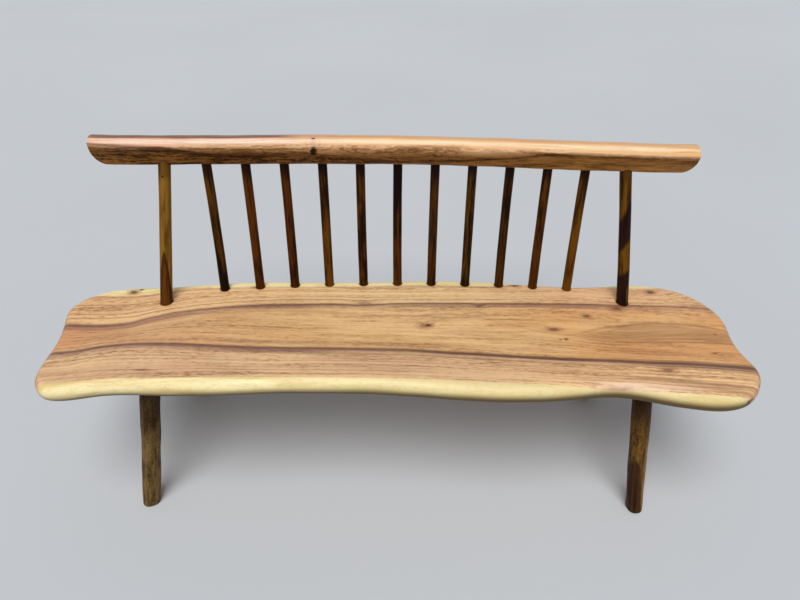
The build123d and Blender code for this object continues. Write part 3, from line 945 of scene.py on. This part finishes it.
# Below the dark edge the planed front is darker still, partly painted shade and partly darker heartwood.
lower_light = log.mix(log.fade(x, -0.50, 0.30), tint(146, 98, 46), tint(182, 130, 70))
lower_dark = log.mix(log.fade(x, -0.20, 0.30), tint(46, 22, 5), tint(90, 56, 22))
calm = rough_tone + (tone - rough_tone) * (log.fade(x, -0.15, 0.25) * 0.75)
lower = log.mix(log.fade(calm, 0.05, 1.05), lower_dark, lower_light)
colour = log.mix(log.fade(dark_edge - angle + wander * 0.5, 0.0, 0.14) * front, colour, lower)
mauve = log.fade(abs(drop - 0.07), 0.13, 0.03) * log.fade(x, -0.62, -0.70) * front
colour = log.mix(mauve * 0.6, colour, tint(136, 96, 82))

# A dark line under the light wood, partly a growth line and partly painted shade at the arris, broad on the
# left, and the reddish top there.
patchy = log.fade(log.grain(run, (5, 30, 30), 38), 0.22, 0.52)
dark_share = log.fade(abs(x + 0.50), 0.32, 0.14) * 0.62 + log.fade(abs(x - 0.25), 0.26, 0.10) * 0.45 + 0.25
thick = log.fade(abs(x + 0.50), 0.26, 0.10) * 0.10
dark_line = log.fade(abs(angle - dark_edge + wander * 0.5 + 0.03) - thick, 0.18, 0.03)
dark_line = dark_line * (patchy * 0.35 + 0.65) * dark_share
line_wood = log.mix(log.fade(rough_tone, 0.2, 0.9), tint(36, 15, 4), tint(74, 42, 18))
colour = log.mix(dark_line * front, colour, line_wood)
red_top = log.fade(angle + wander * 0.35, 1.22, 1.36) * log.fade(x, -0.24, -0.34)
red_top = red_top * log.fade(angle, 2.6, 2.0)
red_wood = log.mix(log.fade(tone, 0.1, 0.9), tint(92, 54, 42), tint(134, 84, 66))
colour = log.mix(red_top * 0.90, colour, red_wood)


def log_spot(place, degrees, length, turn):
    """Distance from a place on the log's front, in shares of a length and of a turn."""
    off = log.place((x - place) / length, (angle - radians(degrees)) / turn)
    return log.node("VectorMath", {"operation": "LENGTH"}, {0: off}, out="Value")


# A small knot on the front, left of the middle: its swelling's crease and two dark specks.
ripple = log.grain(log.spot, (200, 200, 200), 39, detail=3) + 0.5
crease = log.fade(abs(log_spot(knot_x, 48, 0.015, 0.50) - 1.15), 0.30, 0.04)
colour = log.mix(crease * log.fade(ripple, 1.15, 0.85) * 0.22, colour, tint(120, 76, 52))
smudge = log.fade(log_spot(knot_x, 45, 0.011, 0.62), 1.2, 0.2)
colour = log.mix(smudge * 0.22, colour, tint(150, 100, 74))
for place, degrees, length, turn in ((-0.2255, 13, 0.0086, 0.33), (-0.2262, 68, 0.0070, 0.060)):
    speck = log_spot(place, degrees, length, turn) * ripple
    colour = log.mix(log.fade(speck, 1.25, 0.6) * 0.97, colour, tint(27, 8, 3))
colour = log.mix(pores * 0.25, colour, tint(104, 66, 42))
ends = log.fade(abs(log.parts(log.node("NewGeometry", out="Normal"))[0]), 0.5, 0.95)
colour = log.mix(ends * 0.35, colour, tint(150, 98, 58))
log_relief = broad * 0.5 + dash * 0.14 + fibre * 0.05 - pores * 0.06
polish = log.fade(angle, 0.74, 0.96) * log.fade(angle, 2.4, 1.6) * 0.70 + 0.02
sheen = {"Specular IOR Level": 0.06, "Coat Weight": polish, "Coat Roughness": 0.24}
log.oil(rail_log, colour, (dash - 0.5) * 0.18 + 0.36 + pores * 0.1, log_relief, sheen)
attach(rail_log, "root")
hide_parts("top_rail")

# ------------------------------ floor and light
# A plain pale studio floor that runs out of sight, one large soft lamp high up and a
# little in front, and an even pale surround.

floor_mesh = bpy.data.meshes.new("studio_floor")
floor_mesh.from_pydata([(-40, -40, 0), (40, -40, 0), (40, 40, 0), (-40, 40, 0)], [], [(0, 1, 2, 3)])
floor = bpy.data.objects.new("studio_floor", floor_mesh)
bpy.context.collection.objects.link(floor)
paint = Finish(bpy.data.materials.new("studio_floor_paint"))
speck = paint.grain(paint.spot, (0.5, 0.5, 0.5), 51)
paint.oil(floor, paint.mix(speck, tint(192, 195, 198), tint(200, 203, 206)), speck * 0.1 + 0.75, speck * 0.2)

lamp_data = bpy.data.lights.new("high_soft_lamp", "SUN")
lamp_data.energy = 2.45
lamp_data.angle = radians(38)
lamp = bpy.data.objects.new("high_soft_lamp", lamp_data)
lamp.rotation_euler = Vector((0.10, 0.48, -1.0)).to_track_quat("-Z", "Y").to_euler()
bpy.context.collection.objects.link(lamp)

world = bpy.data.worlds.new("studio_surround")
bpy.context.scene.world = world
air = Finish(world)
seen = air.node("LightPath", out="Is Camera Ray") + air.node("LightPath", out="Is Glossy Ray")
seen = seen + air.node("LightPath", out="Is Transmission Ray")
soft_air = air.node("Background", (), {"Color": tint(226, 230, 236), "Strength": 0.38})
pale_air = air.node("Background", (), {"Color": tint(200, 203, 206), "Strength": 1.0})
air.node("OutputWorld", (), {"Surface": air.node("MixShader", (), {0: seen, 1: soft_air, 2: pale_air})})

# ------------------------------ camera
# At standing eye height in front of the bench, a little left of its middle, looking down
# on the seat with a wide lens.

pitch, roll, yaw = radians(35.89), radians(1.71), radians(1.00)
ahead = Vector((sin(yaw) * cos(pitch), cos(yaw) * cos(pitch), -sin(pitch)))
level = Vector((cos(yaw), -sin(yaw), 0))
right = cos(roll) * level + sin(roll) * level.cross(ahead)
camera_data = bpy.data.cameras.new("camera")
camera_data.sensor_width, camera_data.lens = 36, 27.17
camera = bpy.data.objects.new("camera", camera_data)
camera.matrix_world = Matrix((right, right.cross(ahead), -ahead)).transposed().to_4x4()
camera.location = (-0.022, -1.2463, 1.401)
bpy.context.collection.objects.link(camera)
bpy.context.scene.camera = camera
bpy.context.scene.view_settings.view_transform = "Standard"
